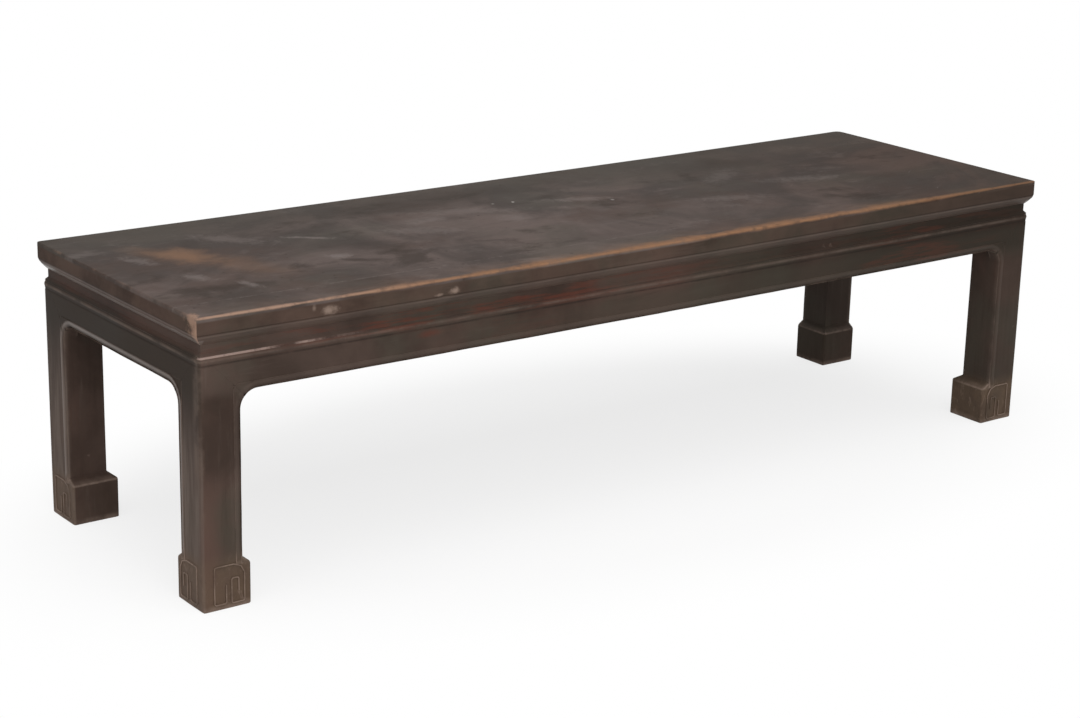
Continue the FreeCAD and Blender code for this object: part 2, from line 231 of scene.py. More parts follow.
# lacquer on waist, aprons and legs
lacquer = {
    "umber": (0.039, 0.0255, 0.0200),
    "brown": (0.076, 0.0490, 0.0390),
    "olive": (0.056, 0.0475, 0.0360),
    "red": (0.112, 0.0340, 0.0220),
    "russet": (0.100, 0.0580, 0.0460),
    "shadow": (0.0330, 0.0255, 0.0195),
    "rightShade": (0.77, 0.76, 0.75),
    # pale haze on the lacquer, also the tone of painted light and painted reflection
    "haze": (0.140, 0.1090, 0.0920),
    "rubbed": (0.150, 0.1080, 0.0860),
    "pale": (0.34, 0.245, 0.210),
    "chip": (0.28, 0.205, 0.165),
    "foot": (0.116, 0.0790, 0.0530),
    "dirt": (0.013, 0.0095, 0.0080),
    "specular": 0.035,
    "relief": 0.0012,
    "redPatch": {"middle": (-0.386, -halfWidth, 0.309), "reach": (0.020, 0.020, 0.006)},
    # where each tone starts, is full, starts to fade and is gone
    "greenHeights": (0.260, 0.280, 0.304, 0.318),
    "redHeights": (0.312, 0.328, 0.346, 0.352),
    "shoulderHeights": (0.3262, 0.3270, 0.3284, 0.3296),
    # distances from the side, for the painted reflection band on the ends of the front legs
    "legBand": (0.001, 0.006, 0.011, 0.020),
}
grains = {  # how far the streaks are drawn out along each axis
    "alongX": (6.0, 0.5, 0.5),
    "alongY": (0.5, 6.0, 0.5),
    "alongZ": (0.5, 0.5, 6.0),
}
chipShape = {"ragged": 230.0, "detail": 4.0, "shift": 0.010, "cells": 52.0, "groups": 23.0, "fade": 0.06}


def lacquerCoat(paint, place, grain):
    mottle = paint.cloud(place, 6.0, 5.0, 0.55, 0.4)
    patches = paint.cloud(paint.moved(place, (0.7, 0.2, 0.4)), 4.5, 5.0, 0.6)
    streaks = paint.cloud(paint.stretch(place, grains[grain]), 42.0, 7.0, 0.62, 0.3)
    colour = paint.blend(mottle.ramp(0.34, 0.66), lacquer["umber"], lacquer["brown"])
    colour = paint.blend(patches.ramp(0.46, 0.62) * 0.80, colour, lacquer["olive"])
    colour = paint.blend(streaks.ramp(0.56, 0.74) * 0.18, colour, lacquer["haze"])
    colour = paint.blend(streaks.ramp(0.46, 0.30) * 0.35, colour, lacquer["umber"])
    return colour, mottle, streaks


def chipped(paint, place, size, rarity):
    inputs = {"Vector": place, "Scale": chipShape["ragged"], "Detail": chipShape["detail"]}
    ragged = paint.node("ShaderNodeTexNoise", inputs=inputs, out="Color")
    inputs = {0: ragged, 1: (chipShape["shift"],) * 3, 2: place}
    shifted = paint.node("ShaderNodeVectorMath", {"operation": "MULTIPLY_ADD"}, inputs)
    inputs = {"Vector": shifted, "Scale": chipShape["cells"]}
    cells = paint.node("ShaderNodeTexVoronoi", {"feature": "F1"}, inputs)
    groups = paint.cloud(paint.moved(place, (0.3, 0.6, 0.2)), chipShape["groups"], 2.0)
    return cells.ramp(size, size * 0.4) * groups.ramp(rarity, rarity + chipShape["fade"])


def beforeSag(x, z):
    return z + (1 - x * x * (1 / halfLength ** 2)) * sag


def basePlaces(paint):
    place = paint.place()
    x, y, z = paint.split(place)
    fromEnd = (halfLength - faceInset) - x.size()
    fromSide = (halfWidth - faceInset) - y.size()
    return SimpleNamespace(
        paint=paint, place=place, x=x, y=y, z=beforeSag(x, z), fromEnd=fromEnd, fromSide=fromSide,
        onFront=(0 - y).ramp(halfWidth - 0.020, halfWidth - 0.012),
        onEnd=fromEnd.ramp(0.004, 0.001),
        breakUp=paint.cloud(paint.moved(place, (0.1, 0.5, 0.9)), 24.0, 6.0, 0.68),
        frayed=(paint.cloud(place, 70.0, 6.0, 0.7) - 0.5) * 2.2,
    )


# broad changes of tone: painted shade to the right, darker on the ends, painted light on the left of the
# front, warm on the near leg
def baseTones(at, mottle):
    paint, x, z = at.paint, at.x, at.z
    # painted shade, deeper to the right, and darker on the ends
    along = x.ramp(-0.1, 0.72) * z.ramp(0.25, 0.29, 0.35, 0.95)
    shade = along.most(at.onEnd * z.ramp(0.23, 0.29) * 0.85)
    paint.lay(shade, lacquer["shadow"])
    greened = at.onFront * x.ramp(-0.35, 0.0) * z.between(lacquer["greenHeights"])
    paint.lay(greened * 0.45, lacquer["olive"])
    # painted shade on the right of the front apron
    dimmed = at.onFront * x.ramp(0.0, 0.5) * z.ramp(0.265, 0.285)
    paint.lay(dimmed, lacquer["rightShade"], "MULTIPLY")
    # painted light on the left of the front
    paler = at.onFront * x.ramp(-0.2, -0.6) * z.ramp(0.270, 0.285) * mottle.ramp(0.25, 0.55, 0.5, 1.0)
    paint.lay(paler * 0.14, lacquer["haze"])
    warmed = at.onFront * at.fromEnd.ramp(0.034, 0.006) * z.ramp(0.22, 0.10) * x.ramp(0.0, -0.4)
    warmed = warmed * mottle.ramp(0.25, 0.55, 0.4, 1.0)
    paint.lay(warmed * 0.75, lacquer["russet"])


# red undercoat in the hollow mouldings, most of it left of the middle
def redUndercoat(at, grain):
    paint, place = at.paint, at.place
    leftward = (at.x + 0.30).size().ramp(0.50, 0.08, 0.15, 1.0)
    hollow = at.z.between(lacquer["redHeights"]) * leftward
    elsewhere = paint.cloud(paint.moved(place, (0.45, 0.8, 0.1)), 3.2, 3.0, 0.5).ramp(0.52, 0.72)
    streak = paint.cloud(paint.stretch(place, grains[grain], (0.3, 0.3, 0.3)), 58.0, 7.0, 0.70)
    red = streak.ramp(0.46, 0.62) * (hollow * 0.60).most(elsewhere * 0.30)
    paint.lay(red, lacquer["red"])
    patch = lacquer["redPatch"]
    patched = paint.spot(place, patch["middle"], patch["reach"], at.frayed * 0.5) * at.onFront
    paint.lay(patched * 0.55, lacquer["red"])


# dust and painted light towards the floor, most of it on the faces that look along the table; the feet's
# paler tone laid as painted light on the ends and the front feet; rubbing and scratches on the feet
def floorWearAndLight(at, streaks):
    paint, z = at.paint, at.z
    # dust, partly painted light from the floor, most on the end faces
    dustAndLight = z.ramp(0.29, 0.14) * (0.06 + at.onEnd * 0.88) * (0.45 + streaks.ramp(0.36, 0.66) * 0.75)
    paint.lay(dustAndLight, lacquer["haze"])
    # painted light: the feet are paler where lit, on the ends and at the front, and stay dark on the shaded
    # inner faces
    litFeet = at.onEnd.most((0 - at.y).ramp(0.0, 0.12) * 0.86) * 0.85 + 0.10
    foot = z.ramp(0.078, 0.050) * (0.45 + at.breakUp.ramp(0.3, 0.7) * 0.55) * litFeet
    paint.lay(foot, lacquer["foot"])
    # painted light on the ends of the feet, in the rubbed tone
    paint.lay(foot * at.onEnd * 0.60, lacquer["rubbed"])
    upright = paint.stretch(at.place, (1, 1, 2.4), (0.2, 0.7, 0.5))
    scratched = paint.cloud(upright, 95.0, 7.0, 0.72, 1.4)
    paint.lay(foot * scratched.ramp(0.55, 0.70) * 0.50, lacquer["chip"])
    paint.lay(foot * scratched.ramp(0.44, 0.30) * 0.55, lacquer["umber"])
    sole = z.ramp(0.011, 0.002) * at.breakUp.ramp(0.36, 0.60)
    paint.lay(sole * 0.55, lacquer["rubbed"])
    return dustAndLight


# dirt in the grooves, beads lighter (partly rubbed, partly a painted reflection of the floor), worn edges, a
# painted reflection band on the ends of the front legs, the bright stretch of the front shoulder, and chips
def baseEdges(at, worn, beaded):
    paint, z, breakUp = at.paint, at.z, at.breakUp
    dirty = paint.attribute("groove") * breakUp.ramp(0.25, 0.60, 0.20, 1.0)
    paint.lay(dirty * 0.55, lacquer["dirt"])
    # beads lighter, most on the ends: partly rubbed, partly a painted reflection of the floor
    lit = beaded * (0.16 + at.onEnd * 0.60) * breakUp.ramp(0.25, 0.60, 0.5, 1.0)
    paint.lay(lit, lacquer["rubbed"])
    corner = at.fromEnd.most(at.fromSide).ramp(0.0075, 0.0030) * z.ramp(0.328, 0.318)
    rub = (worn * breakUp.ramp(0.30, 0.64)).most(corner * breakUp.ramp(0.46, 0.68) * 0.40)
    rubTone = paint.blend(z.ramp(0.075, 0.062), lacquer["rubbed"], lacquer["chip"])
    paint.lay(rub * (0.68 + at.onEnd * 0.22), rubTone)
    # painted reflection: a pale upright band on the end faces of the front legs, near the front corner
    reflectionBand = at.onEnd * at.fromSide.between(lacquer["legBand"]) * (0 - at.y).ramp(0.0, 0.1)
    reflectionBand = reflectionBand * breakUp.ramp(0.34, 0.62) * z.ramp(0.10, 0.20)
    paint.lay(reflectionBand * 0.45, lacquer["rubbed"])
    shoulder = z.between(lacquer["shoulderHeights"]) * at.fromSide.ramp(0.006, 0.005) * at.onFront
    bright = shoulder * at.x.ramp(-0.46, -0.60) * breakUp.ramp(0.34, 0.54)
    paint.lay(bright * 0.85, lacquer["pale"])
    chip = chipped(paint, at.place, 0.20, 0.64).most(chipped(paint, at.place, 0.26, 0.56) * corner)
    paint.lay(chip * 0.45, lacquer["chip"])
    return rub, chip


def baseLacquer(grain):
    material, paint = newMaterial("baseLacquer" + grain)
    at = basePlaces(paint)
    worn, beaded = paint.attribute("edgeWear"), paint.attribute("bead")
    paint.colour, mottle, streaks = lacquerCoat(paint, at.place, grain)
    baseTones(at, mottle)
    redUndercoat(at, grain)
    dustAndLight = floorWearAndLight(at, streaks)
    rub, chip = baseEdges(at, worn, beaded)
    fine = paint.cloud(paint.stretch(at.place, grains[grain]), 190.0, 4.0, 0.6)
    roughness = 0.44 + mottle.ramp(0.3, 0.7) * 0.12 + rub * 0.12 + dustAndLight * 0.15
    height = fine * 0.10 + streaks * 0.15 + mottle * 0.35 - chip * 0.30
    coat = beaded * (0.12 + at.onEnd * 0.50) + worn * 0.12
    finishMaterial(paint, roughness, height, coat, lacquer)
    return material


# the top: greyed partly by use and partly by painted sheen, rubbed to bare wood along its front edge
topTones = {
    "umber": (0.060, 0.0460, 0.0400),
    # grey of the top: partly use, partly painted sheen
    "grey": (0.136, 0.1040, 0.0930),
    "olive": (0.086, 0.0760, 0.0620),
    "dark": (0.038, 0.0280, 0.0225),
    "back": (0.060, 0.0530, 0.0435),
    "rightShade": (0.59, 0.52, 0.47),  # the light falls off to the right
    "scuff": (0.198, 0.1640, 0.1520),
    "tan": (0.290, 0.1540, 0.0850),
    "ochre": (0.200, 0.1150, 0.0720),
    "pale": (0.370, 0.2350, 0.1700),
    "side": (0.110, 0.0720, 0.0550),
    "bare": (0.60, 0.56, 0.52),
    "specular": 0.02,
    "relief": 0.0010,
    "frontReach": 0.017,  # how far the wear runs in from the front edge
    "frontDrop": 0.0042,  # and down the front face
    "fullReach": 0.0015,  # the wear is at its full this far in
    "fullDrop": 0.0008,  # and this far down
    "glowReach": 0.046,
    "scratchTurns": (4, -17, 31),  # degrees
    "patches": [  # middle, half lengths, turn in degrees, strength
        ((-0.590, 0.046), (0.062, 0.034), -66, 0.95),
        ((-0.625, 0.085), (0.050, 0.030), -64, 0.28),
        ((-0.550, -0.030), (0.085, 0.040), -70, 0.30),
    ],
    "scuffs": [
        ((-0.404, 0.055), (0.042, 0.007), -35, 0.60),
        ((-0.419, -0.049), (0.026, 0.012), -20, 0.75),
        ((-0.628, -0.052), (0.024, 0.014), -60, 0.60),
        ((-0.588, -0.112), (0.022, 0.008), -70, 0.60),
        ((-0.655, 0.060), (0.034, 0.016), -70, 0.45),
        ((-0.500, 0.100), (0.070, 0.022), -45, 0.32),
        ((-0.250, 0.010), (0.070, 0.022), -25, 0.34),
        ((-0.130, 0.070), (0.090, 0.020), -20, 0.30),
        ((0.050, 0.050), (0.060, 0.014), -20, 0.40),
        ((0.250, -0.060), (0.080, 0.016), -15, 0.30),
        ((0.430, -0.020), (0.070, 0.020), -18, 0.28),
        ((0.330, 0.060), (0.060, 0.022), 30, 0.22),
    ],
    "darks": [
        ((-0.360, -0.020), (0.070, 0.050), -40, 0.50),
        ((-0.120, 0.150), (0.300, 0.050), 0, 0.50),
        ((0.380, 0.120), (0.140, 0.060), -10, 0.55),
        ((0.160, -0.010), (0.110, 0.035), -15, 0.40),
        ((-0.640, -0.150), (0.060, 0.050), 0, 0.35),
    ],
    "specks": [  # middle, radius, strength
        ((-0.043, 0.085), 0.0026, 0.95),
        ((-0.075, 0.090), 0.0028, 0.35),
        ((0.090, 0.022), 0.0034, 0.45),
    ],
    "faceChips": [  # on the front face: middle, half lengths, strength
        ((-0.537, 0.3635), (0.013, 0.0060), 0.75),
        ((-0.560, 0.3690), (0.003, 0.0050), 0.45),
        ((-0.352, 0.3615), (0.009, 0.0050), 0.75),
        ((-0.377, 0.3590), (0.008, 0.0022), 0.55),
    ],
}


def topPlaces(paint):
    place = paint.place()
    x, y, z = paint.split(place)
    z = beforeSag(x, z)
    broadBlotch = paint.stretch(place, (1.5, 1, 1), (0.8, 0.1, 0.5))
    return SimpleNamespace(
        paint=paint, place=place, x=x, y=y, z=z, fromFront=y + halfWidth, fromTop=tableHeight - z,
        fromLeft=x + halfLength, fromEnds=halfLength - x.size(),
        mottle=paint.cloud(place, 5.0, 6.0, 0.58, 0.7),
        blotch=paint.cloud(broadBlotch, 13.0, 6.0, 0.64, 0.25),
        streaks=paint.cloud(paint.stretch(place, (3.2, 0.8, 0.8)), 30.0, 7.0, 0.66, 0.6),
        frayed=(paint.cloud(place, 58.0, 7.0, 0.74, 0.8) - 0.5) * 3.4,
    )


def topCoat(at):
    paint, place, blotch, streaks = at.paint, at.place, at.blotch, at.streaks
    olive = paint.cloud(paint.stretch(place, (1.4, 1, 1), (0.2, 0.9, 0.3)), 5.0, 5.0, 0.6)
    warm = paint.cloud(paint.moved(place, (0.6, 0.3, 0.8)), 6.5, 5.0, 0.6)
    # mottled from umber to grey, the grey partly painted sheen
    paint.colour = paint.blend(at.mottle.ramp(0.37, 0.62), topTones["umber"], topTones["grey"])
    paint.lay(olive.ramp(0.46, 0.62) * 0.50, topTones["olive"])
    paint.lay(warm.ramp(0.50, 0.66) * 0.55, lacquer["brown"])
    paint.lay(blotch.ramp(0.46, 0.30) * 0.70, topTones["dark"])
    paint.lay(blotch.ramp(0.56, 0.72) * 0.45, topTones["scuff"])
    paint.lay(streaks.ramp(0.54, 0.74) * 0.18, topTones["scuff"])
    paint.lay(streaks.ramp(0.46, 0.30) * 0.25, topTones["dark"])
    paint.lay(at.x.ramp(0.00, 0.70), topTones["rightShade"], "MULTIPLY")
    backward = at.y.ramp(0.05, 0.21) * at.mottle.ramp(0.25, 0.60, 0.5, 1.0)
    paint.lay(backward * 0.60, topTones["back"])
    scratches = 0.0
    for turn in topTones["scratchTurns"]:
        move = (turn * 0.01, 0.2, 0.4)
        along = paint.stretch(place, (7.0, 0.7, 1.0), move, (0, 0, math.radians(turn)))
        scratches = scratches + paint.cloud(along, 150.0, 5.0, 0.74, 0.4).ramp(0.63, 0.74)
    paint.lay(scratches * blotch.ramp(0.36, 0.60) * 0.50, topTones["scuff"])
    pits = chipped(paint, paint.moved(place, (0.4, 0.1, 0.2)), 0.17, 0.52)
    paint.lay(pits * 0.55, topTones["dark"])
    return pits


# marks of use, and the faint line where the boards meet the frame
def topMarks(at):
    paint, place = at.paint, at.place
    soft = (paint.cloud(place, 18.0, 6.0, 0.66) - 0.5) * 2.0
    marks = [(topTones["dark"], soft, mark) for mark in topTones["darks"]]
    marks += [(topTones["ochre"], soft, mark) for mark in topTones["patches"]]
    marks += [(topTones["scuff"], at.frayed, mark) for mark in topTones["scuffs"]]
    for tone, edge, (middle, reach, turn, strength) in marks:
        mark = paint.spot(place, (*middle, tableHeight), (*reach, 1.0), edge, turn)
        paint.lay(mark * strength, tone)
    for middle, radius, strength in topTones["specks"]:
        speck = paint.spot(place, (*middle, tableHeight), (radius, radius, 1.0), 0.0)
        paint.lay(speck * strength, topTones["bare"])
    fromJoint = (at.fromFront - frameWidth).size()
    jointLine = fromJoint.ramp(0.0030, 0.0005) * at.frayed.ramp(-0.2, 0.5) * at.x.ramp(0.30, 0.0)
    paint.lay(jointLine * 0.40, topTones["scuff"])


# sides of the slab keep more of the brown lacquer, with painted shade to the right, a painted reflection of
# the floor on the under-bevel, strongest on the ends, dirt in the crease and a rubbed lip
def topSides(at):
    paint, fromTop = at.paint, at.fromTop
    sideCoat, _, _ = lacquerCoat(paint, at.place, "alongX")
    sideCoat = paint.blend(at.blotch.ramp(0.35, 0.62) * 0.45, sideCoat, topTones["side"])
    # painted shade, darker to the right
    sideCoat = paint.blend(at.x.ramp(-0.1, 0.72) * 0.55, sideCoat, lacquer["shadow"])
    # painted reflection of the floor on the under-bevel, strongest on the ends; the same masks also set the
    # coat
    hollow = at.z.ramp(0.3580, 0.3555)
    endBevelReflection = at.z.ramp(0.3520, 0.3490) * at.fromEnds.ramp(0.014, 0.010)
    sideCoat = paint.blend(hollow * 0.12 + endBevelReflection * 0.60, sideCoat, lacquer["haze"])
    paint.lay(fromTop.ramp(0.0040, 0.0070), sideCoat)
    paint.lay(paint.attribute("groove") * 0.45, lacquer["dirt"])
    lipWear = paint.attribute("edgeWear") * fromTop.ramp(0.018, 0.022) * at.streaks.ramp(0.34, 0.58)
    paint.lay(lipWear * 0.55, lacquer["rubbed"])
    return hollow * 0.20 + endBevelReflection * 0.50


# rubbed edges: bright along the front and at the near corner, faint along the other sides
def topEdges(at):
    paint, x, fromFront, fromLeft = at.paint, at.x, at.fromFront, at.fromLeft
    fullReach, fullDrop = topTones["fullReach"], topTones["fullDrop"]
    uneven = paint.cloud(paint.stretch(at.place, (2.0, 1, 1), (0.9, 0.4, 0.2)), 22.0, 7.0, 0.7)
    broken = paint.cloud(at.place, 75.0, 6.0, 0.7)
    broad = (x - 0.05).size().ramp(0.66, 0.20, 0.30, 1.0)
    reach = topTones["frontReach"] * broad * uneven.ramp(0.25, 0.75, 0.35, 1.9)
    drop = topTones["frontDrop"] * uneven.ramp(0.25, 0.75, 0.5, 1.3) * broad.ramp(0.2, 0.8, 0.6, 1.1)
    upper = at.fromTop.ramp(drop + fullDrop, fullDrop)
    front = fromFront.ramp(reach + fullReach, fullReach) * upper
    glow = fromFront.ramp(topTones["glowReach"], 0.0) * uneven.ramp(0.35, 0.70) * broad * upper
    others = at.fromEnds.least(halfWidth - at.y).ramp(0.005, 0.0) * uneven.ramp(0.48, 0.70) * upper
    nearEnd = fromLeft.ramp(0.004, 0.002) * fromFront.ramp(0.060, 0.010) * at.fromTop.ramp(0.0040, 0.0010)
    reachBack = at.z.ramp(0.346, 0.376, 0.017, 0.038) * broken.ramp(0.30, 0.70, 0.6, 1.2)
    corner = fromFront.ramp(reachBack, reachBack * 0.30) * fromLeft.ramp(0.0140, 0.0100)
    corner = corner * (fromLeft - fromFront).ramp(0.0006, -0.0006)
    rub = front * broken.ramp(0.28, 0.56, 0.40, 0.90)
    rub = rub.most(glow * 0.37).most(others * 0.22)
    rub = rub.most(nearEnd * uneven.ramp(0.35, 0.60) * 0.60)
    rub = rub.most(corner * broken.ramp(0.28, 0.55, 0.25, 0.85))
    tone = paint.blend(x.ramp(-0.30, -0.62), topTones["tan"], topTones["pale"])
    paint.lay(rub * x.ramp(0.74, 0.30, 0.60, 1.0), tone)
    return rub


def chipFace(at):
    onFront = at.fromFront.ramp(0.006, 0.003) * at.z.ramp(0.352, 0.355)
    ragged = (at.paint.cloud(at.place, 110.0, 6.0, 0.72) - 0.5) * 2.2
    for (middleX, middleZ), (reachX, reachZ), strength in topTones["faceChips"]:
        middle = (middleX, -halfWidth, middleZ)
        chip = at.paint.spot(at.place, middle, (reachX, 0.05, reachZ), ragged) * onFront
        at.paint.lay(chip * strength, lacquer["chip"])


def topLacquer():
    material, paint = newMaterial("topLacquer")
    at = topPlaces(paint)
    pits = topCoat(at)
    topMarks(at)
    coat = topSides(at)
    rub = topEdges(at)
    chipFace(at)
    fine = paint.cloud(paint.stretch(at.place, (8.0, 0.6, 0.6)), 210.0, 4.0, 0.6)
    roughness = 0.50 + at.mottle.ramp(0.3, 0.7) * 0.12 + rub * 0.10
    height = fine * 0.08 + at.streaks * 0.16 + at.mottle * 0.30 + at.blotch * 0.20
    height = height - rub * 0.10 - pits * 0.15
    finishMaterial(paint, roughness, height, coat, topTones)
    return material


# bare aged wood under the top
underside = {
    "dark": (0.060, 0.036, 0.022), "light": (0.150, 0.096, 0.060), "relief": 0.001, "specular": 0.3,
}


def agedWood(grain):
    material, paint = newMaterial("agedWood" + grain)
    place = paint.place()
    rings = paint.cloud(paint.stretch(place, grains[grain]), 60.0, 6.0, 0.6, 1.2)
    stains = paint.cloud(place, 8.0, 4.0)
    paint.colour = paint.blend(rings.ramp(0.32, 0.68), underside["dark"], underside["light"])
    paint.lay(stains.ramp(0.48, 0.70) * 0.6, underside["dark"])
    roughness = 0.62 + rings.ramp(0.3, 0.7) * 0.18
    finishMaterial(paint, roughness, rings, 0.0, underside)
    return material


materials = {grain: baseLacquer(grain) for grain in grains}
materials["top"] = topLacquer()
materials["battens"] = agedWood("alongY")
print("materials made:", len(materials))


# worn copies of the solids: edges softened, surfaces cut into small faces, then dented and rubbed down
wear = {
    "flat": math.radians(0.5),  # faces that meet flatter than this are one face
    "sharp": math.radians(20),  # edges sharper than this may be softened
    "crease": math.radians(35),  # edges sharper than this stay crisp in the shading
    "widest": 2.2 * mm,
    "rings": 4,
    "wobble": 0.22 * mm,  # unevenness of hand-planed faces
    "wobbleLength": 0.11,
    "wobbleFrom": 0.02,  # it fades below this height, so that the soles stay flat
    "rubbed": 0.55 * mm,  # depth of wear on softened edges
    "rubbedLength": 0.035,
    "crest": 0.7,  # share of wear on the raised lines
    "hangFrom": 0.25,  # the hang of the top fades below this height
    "near": 0.05 * mm,
    "merge": 0.01 * mm,
    "snap": 0.02 * mm,  # points this near a cut are taken to lie on it
    "joint": 0.5 * mm,  # edges this near a mitre are not rubbed
}
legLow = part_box("leg_front_left")[0]
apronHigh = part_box("apron_front")[1]
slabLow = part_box("top_frame_front")[0].z
beadRelief = 1.2 * mm
legFace = Vector((legLow.x + beadRelief, legLow.y + beadRelief, 0))
legWidth = 55.5 * mm
openHalf = [abs(legFace.x) - legWidth, abs(legFace.y) - legWidth]
apronBottom = apronHigh.z - 53 * mm
mitreSum = legWidth + apronBottom
openingRound = 24 * mm
seam = {"gap": 0.5 * mm, "depth": 11 * mm}  # round the boards, filled by the lacquer
skin = 1 * mm  # what lies less than this under a face counts as on it
bead = {  # rounded off towards the opening, a little towards the face
    "width": 10 * mm,
    "fall": 2.4 * mm,
    "sunk": 0.3 * mm,
    "outer": 0.5 * mm,
    "outerShare": 0.22,  # shares of the width, from the face to the opening
    "crestShare": 0.24,
    "crestHalf": 0.30,
    "grimeShare": 0.62,
    "grime": 0.8,
    "sweep": 34 * mm,  # outer corner beside the near leg, on the end of the table
    "turn": 9 * mm,  # the other outer corners
    "turnCuts": (15, 30, 45, 60, 75),  # degrees
    "turnMargin": 2 * mm,
    "turnsAbove": 0.20,  # height over which the outer corners lie
    "wall": 0.5 * mm,
    "drop": 0.8 * mm,  # depth by which the corners outside the bead are cut away
    "proud": 0.4 * mm,  # what stands out further than this belongs to the bead
}
hoof = {"beadEnd": 57 * mm, "plainBelow": 64 * mm, "top": 66 * mm}
head = {"depth": 5 * mm, "above": 0.32}  # upper edges of aprons and legs
slabRims = {"outer": 12 * mm, "inner": 50 * mm}
soft = {  # mm by which each kind of edge is rounded
    "slabUnder": 0.9, "mitre": 0.1, "beadOpening": 2.2, "beadBack": 0.7, "shoulder": 0.5, "head": 0.9,
    "apronUnder": 1.5, "foot": 1.8, "legInner": 2.0, "legBehind": 0.8,
}
mouldings = {  # height, half width and relief of each fine line
    "base": [
        (apronHigh.z - 9.6 * mm, 3.4 * mm, 0.7 * mm),
        (apronHigh.z - 5.4 * mm, 1.5 * mm, -0.7 * mm),
        (apronHigh.z - 15.4 * mm, 2.4 * mm, -0.45 * mm),
    ],
    "slab": [
        (slabLow + 13.8 * mm, 1.3 * mm, -0.45 * mm),
        (slabLow + 10.8 * mm, 2.2 * mm, 0.35 * mm),
    ],
}
cornerRound = {"frontLeft": 3.0 * mm, "frontRight": 3.0 * mm, "backRight": 12.0 * mm, "backLeft": 4.0 * mm}
dents = [  # place on the front or left edge, radius, depth
    ((-0.537, -0.220, 0.362), 0.012, 1.6 * mm),
    ((-0.366, -0.220, 0.360), 0.013, 1.3 * mm),
    ((-0.575, -0.220, 0.379), 0.009, 0.9 * mm),
    ((0.205, -0.220, 0.379), 0.012, 0.8 * mm),
    ((-0.720, 0.035, 0.379), 0.010, 0.9 * mm),
    ((-0.720, -0.160, 0.352), 0.008, 0.8 * mm),
]


def same(first, second):
    return abs(first - second) < wear["near"]


def alongFaces(point):
    return abs(legFace.x) - abs(point.x), abs(legFace.y) - abs(point.y)


def onMitre(edge):
    ends = [vertex.co for vertex in edge.verts]
    inPlan = all(same(*alongFaces(end)) for end in ends)
    onShoulder = [all(same(alongFaces(end)[side] + end.z, mitreSum) for end in ends) for side in (0, 1)]
    return inPlan or any(onShoulder)


def frameSoftness(edge, low, high, middle):
    depth = min(halfLength - abs(middle.x), halfWidth - abs(middle.y))
    if same(low.z, slabLow) and same(high.z, slabLow) and not onMitre(edge):
        return soft["slabUnder"] if depth < slabRims["outer"] or depth > slabRims["inner"] else 0
    return 0


def apronSoftness(edge, low, high, middle):
    depth = min(alongFaces(middle))
    lowest = middle.z < apronBottom + skin
    if onMitre(edge):
        return soft["mitre"] if depth < skin else 0
    if same(depth, -beadRelief):
        return soft["beadOpening"] if lowest else soft["beadBack"]
    if same(depth, 0) and same(low.z, high.z):
        return soft["shoulder"]
    if same(low.z, apronHigh.z) and depth < head["depth"]:
        return soft["head"]
    return soft["apronUnder"] if lowest else 0


def legSoftness(edge, low, high, middle):
    fromEnd, fromSide = alongFaces(middle)
    depth, across = min(fromEnd, fromSide), max(fromEnd, fromSide)
    if onMitre(edge):
        return soft["mitre"] if depth < skin else 0
    if same(depth, -beadRelief):
        besideOpening = across > legWidth - skin and middle.z > hoof["beadEnd"]
        return soft["beadOpening"] if besideOpening else soft["beadBack"]
    if middle.z < hoof["top"]:
        return soft["foot"]
    if same(depth, legWidth) and same(across, legWidth):
        return soft["legInner"]
    if across > legWidth + skin:
        return soft["legBehind"]
    return soft["head"] if depth < head["depth"] and middle.z > head["above"] else 0


def noSoftness(edge, low, high, middle):
    return 0


def softened(node, softness):
    mesh = bmesh.new()
    mesh.from_mesh(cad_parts[node].data)
    bmesh.ops.remove_doubles(mesh, verts=mesh.verts, dist=wear["merge"])
    bmesh.ops.dissolve_limit(mesh, angle_limit=wear["flat"], verts=mesh.verts, edges=mesh.edges)
    weight = mesh.edges.layers.float.new("bevel_weight_edge")
    for edge in mesh.edges:
        if len(edge.link_faces) == 2 and edge.calc_face_angle_signed() > wear["sharp"]:
            ends = [vertex.co for vertex in edge.verts]
            low = Vector(map(min, *ends))
            high = Vector(map(max, *ends))
            edge[weight] = softness(edge, low, high, (low + high) / 2) * mm / wear["widest"]
    for face in mesh.faces:
        face.material_index = 0
    plain = bpy.data.meshes.new(node + "Plain")
    mesh.to_mesh(plain)
    mesh.free()
    plain.materials.clear()
    plain.materials.append(None)
    plain.materials.append(None)
    blank = bpy.data.objects.new(node + "Plain", plain)
    bpy.context.scene.collection.objects.link(blank)
    bevel = blank.modifiers.new("soften", "BEVEL")
    bevel.limit_method = "WEIGHT"
    bevel.offset_type = "OFFSET"
    bevel.width = wear["widest"]
    bevel.segments = wear["rings"]
    bevel.use_clamp_overlap = False
    bevel.material = 1
    bevel.miter_outer = "MITER_SHARP"
    rounded = bpy.data.meshes.new_from_object(blank.evaluated_get(bpy.context.evaluated_depsgraph_get()))
    bpy.data.objects.remove(blank)
    bpy.data.meshes.remove(plain)
    return rounded


def fromOpening(point):
    fromEnd, fromSide = alongFaces(point)
    across, half = (abs(point.x), openHalf[0]) if fromSide < fromEnd else (abs(point.y), openHalf[1])
    beside = across - (half - openingRound)
    above = point.z - (apronBottom - openingRound)
    return math.hypot(max(beside, 0), max(above, 0)) + min(max(beside, above), 0) - openingRound


def beadCorner(point):
    fromEnd, fromSide = alongFaces(point)
    onEnd = fromEnd < fromSide
    radius = bead["sweep"] if onEnd and point.x < 0 and point.y < 0 else bead["turn"]
    across, half = (abs(point.y), openHalf[1]) if onEnd else (abs(point.x), openHalf[0])
    inset = bead["width"] - radius
    return across - half - inset, point.z - apronBottom - inset, radius


def beyondBead(point):
    beside, above, radius = beadCorner(point)
    return math.hypot(max(beside, 0), max(above, 0)) - radius


